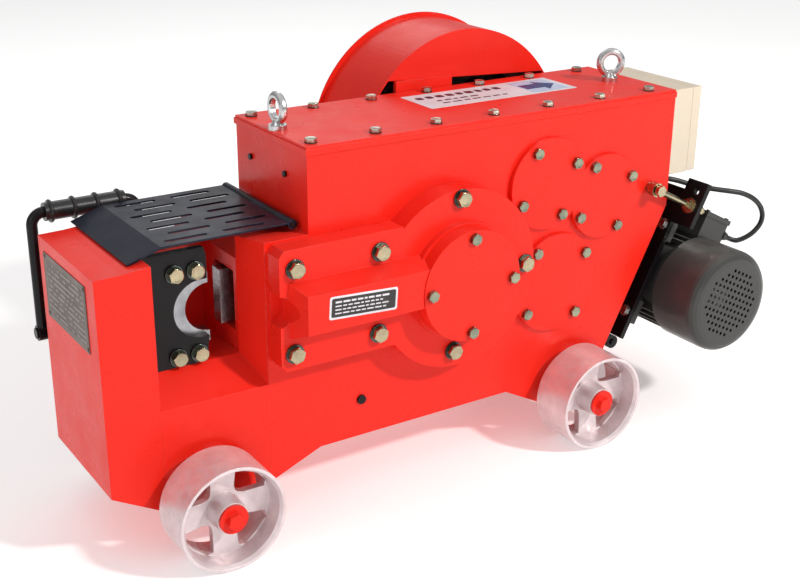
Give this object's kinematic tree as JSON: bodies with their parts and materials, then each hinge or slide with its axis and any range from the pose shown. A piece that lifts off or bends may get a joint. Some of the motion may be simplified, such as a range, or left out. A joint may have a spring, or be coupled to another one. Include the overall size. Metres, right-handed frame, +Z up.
{
  "type": "rebar cutter",
  "caption": "Wheeled electric shear for steel bar: flywheel and gear train turn a crank that drives a ram and blade across an open throat.",
  "frame": {"origin": "middle of the whole machine's box, without the motor cable, on the floor under the wheels", "axes": "+X from the throat end to the motor end, +Y from the front face, where the bar goes in, to the belt guard side, +Z up"},
  "size_m": [1.3718, 0.52, 0.7341],
  "materials": {
    "red_paint": "gloss",
    "dark_red_paint": "gloss",
    "black_paint": "satin",
    "blue_black_sheet": "satin",
    "zinc_bolt": "satin",
    "steel": "satin",
    "tool_steel": "satin",
    "cast_iron": "rough",
    "wheel_cast": "rough",
    "bronze": "satin",
    "beige_paint": "satin",
    "motor_grey": "satin",
    "plate_alu": "satin",
    "cable_rubber": "satin",
    "belt_rubber": "matte",
    "green_plastic": "gloss",
    "red_plastic": "gloss",
    "grip_rubber": "matte",
    "gland_plastic": "matte"
  },
  "bodies": {
    "machine": {"case": "red_paint", "bed": "red_paint", "head": "red_paint", "lid": "red_paint", "lid_bolts": "zinc_bolt", "eye_bolts": "zinc_bolt", "front_cover": "red_paint", "crank_cap": "red_paint", "cover_bolts": "zinc_bolt", "bearing_covers": "red_paint", "bearing_bolts": "zinc_bolt", "rear_covers": "dark_red_paint", "bearings": "steel", "fixed_blade": "tool_steel", "blade_plate": "black_paint", "blade_bolts": "zinc_bolt", "ram_liners": "bronze", "hinge_base": "black_paint", "nameplate": "plate_alu", "service_plugs": "black_paint", "axles": "steel", "wheel_bolts": "red_paint", "switch_box": "beige_paint", "cable_glands": "gland_plastic", "motor_cable": "cable_rubber", "motor_plate": "black_paint", "plate_hinge": "black_paint", "tension_rod": "zinc_bolt", "motor_body": "motor_grey", "motor_cowl": "motor_grey", "terminal_box": "motor_grey", "motor_bolts": "steel", "belts": "belt_rubber", "belt_guard": "red_paint", "guard_bolts": "zinc_bolt", "handle_bracket": "black_paint"},
    "wheel_front_near": {"wheel_front_near": "wheel_cast"},
    "wheel_front_far": {"wheel_front_far": "wheel_cast"},
    "wheel_rear_near": {"wheel_rear_near": "wheel_cast"},
    "wheel_rear_far": {"wheel_rear_far": "wheel_cast"},
    "ram_unit": {"ram": "dark_red_paint", "moving_blade": "tool_steel", "wrist_pin": "steel"},
    "rod": {"con_rod": "cast_iron"},
    "flywheel_unit": {"input_shaft": "steel", "flywheel": "cast_iron"},
    "motor_unit": {"motor_rotor": "steel", "motor_pulley": "cast_iron"},
    "idler_unit": {"shaft_b": "steel", "gear_b": "steel"},
    "second_unit": {"shaft_c": "steel", "gear_c": "steel"},
    "crank_unit": {"crankshaft": "cast_iron", "crank_gear": "steel"},
    "throat_guard": {"throat_cover": "blue_black_sheet"},
    "box_lid": {"switch_lid": "beige_paint"},
    "start_key": {"start_button": "green_plastic"},
    "stop_key": {"stop_button": "red_plastic"},
    "handle": {"pull_handle": "black_paint", "handle_grip": "grip_rubber"}
  },
  "joints": [
    {"name": "flywheel_spin", "type": "hinge", "parent": "machine", "child": "flywheel_unit", "pos_m": [0.1772, 0, 0.49708], "axis": [0, 1, 0], "continuous": true},
    {"name": "motor_spin", "type": "hinge", "parent": "machine", "child": "motor_unit", "pos_m": [0.55414, 0, 0.22736], "axis": [0, 1, 0], "continuous": true},
    {"name": "gear_b_spin", "type": "hinge", "parent": "machine", "child": "idler_unit", "pos_m": [0.30972, 0, 0.45351], "axis": [0, 1, 0], "continuous": true},
    {"name": "gear_c_spin", "type": "hinge", "parent": "machine", "child": "second_unit", "pos_m": [0.20341, 0, 0.30826], "axis": [0, 1, 0], "continuous": true},
    {"name": "crank_spin", "type": "hinge", "parent": "machine", "child": "crank_unit", "pos_m": [-0.03364, 0, 0.374], "axis": [0, 1, 0], "continuous": true},
    {"name": "ram_slide", "type": "slide", "parent": "machine", "child": "ram_unit", "axis": [-1, 0, 0], "range_m": [0, 0.074]},
    {"name": "rod_swing", "type": "hinge", "parent": "ram_unit", "child": "rod", "pos_m": [-0.22614, -0.055, 0.374], "axis": [0, 1, 0], "range_deg": [-9.5, 9.5]},
    {"name": "throat_cover_hinge", "type": "hinge", "parent": "machine", "child": "throat_guard", "pos_m": [-0.31214, 0, 0.501], "axis": [0, 1, 0], "range_deg": [0, 92]},
    {"name": "box_lid_hinge", "type": "hinge", "parent": "machine", "child": "box_lid", "pos_m": [0.51626, 0.0535, 0.547], "axis": [0, 0, 1], "range_deg": [0, 110]},
    {"name": "start_push", "type": "slide", "parent": "box_lid", "child": "start_key", "axis": [-1, 0, 0], "range_m": [0, 0.004], "stiffness_N_per_m": 600},
    {"name": "stop_push", "type": "slide", "parent": "box_lid", "child": "stop_key", "axis": [-1, 0, 0], "range_m": [0, 0.004], "stiffness_N_per_m": 600},
    {"name": "wheel_front_near_spin", "type": "hinge", "parent": "machine", "child": "wheel_front_near", "pos_m": [-0.48864, -0.209, 0.089], "axis": [0, 1, 0], "continuous": true},
    {"name": "wheel_front_far_spin", "type": "hinge", "parent": "machine", "child": "wheel_front_far", "pos_m": [-0.48864, 0.145, 0.089], "axis": [0, 1, 0], "continuous": true},
    {"name": "wheel_rear_near_spin", "type": "hinge", "parent": "machine", "child": "wheel_rear_near", "pos_m": [0.25626, -0.209, 0.089], "axis": [0, 1, 0], "continuous": true},
    {"name": "wheel_rear_far_spin", "type": "hinge", "parent": "machine", "child": "wheel_rear_far", "pos_m": [0.25626, 0.145, 0.089], "axis": [0, 1, 0], "continuous": true},
    {"name": "handle_swing", "type": "hinge", "parent": "machine", "child": "handle", "pos_m": [-0.54614, 0.128, 0.3], "axis": [-1, 0, 0], "range_deg": [0, 95]}
  ],
  "couplings": [
    {"joint": "motor_spin", "follows": "flywheel_spin", "ratio": 3.7037},
    {"joint": "gear_b_spin", "follows": "flywheel_spin", "ratio": -0.34783},
    {"joint": "gear_c_spin", "follows": "flywheel_spin", "ratio": 0.1194},
    {"joint": "crank_spin", "follows": "flywheel_spin", "ratio": -0.041106}
  ]
}
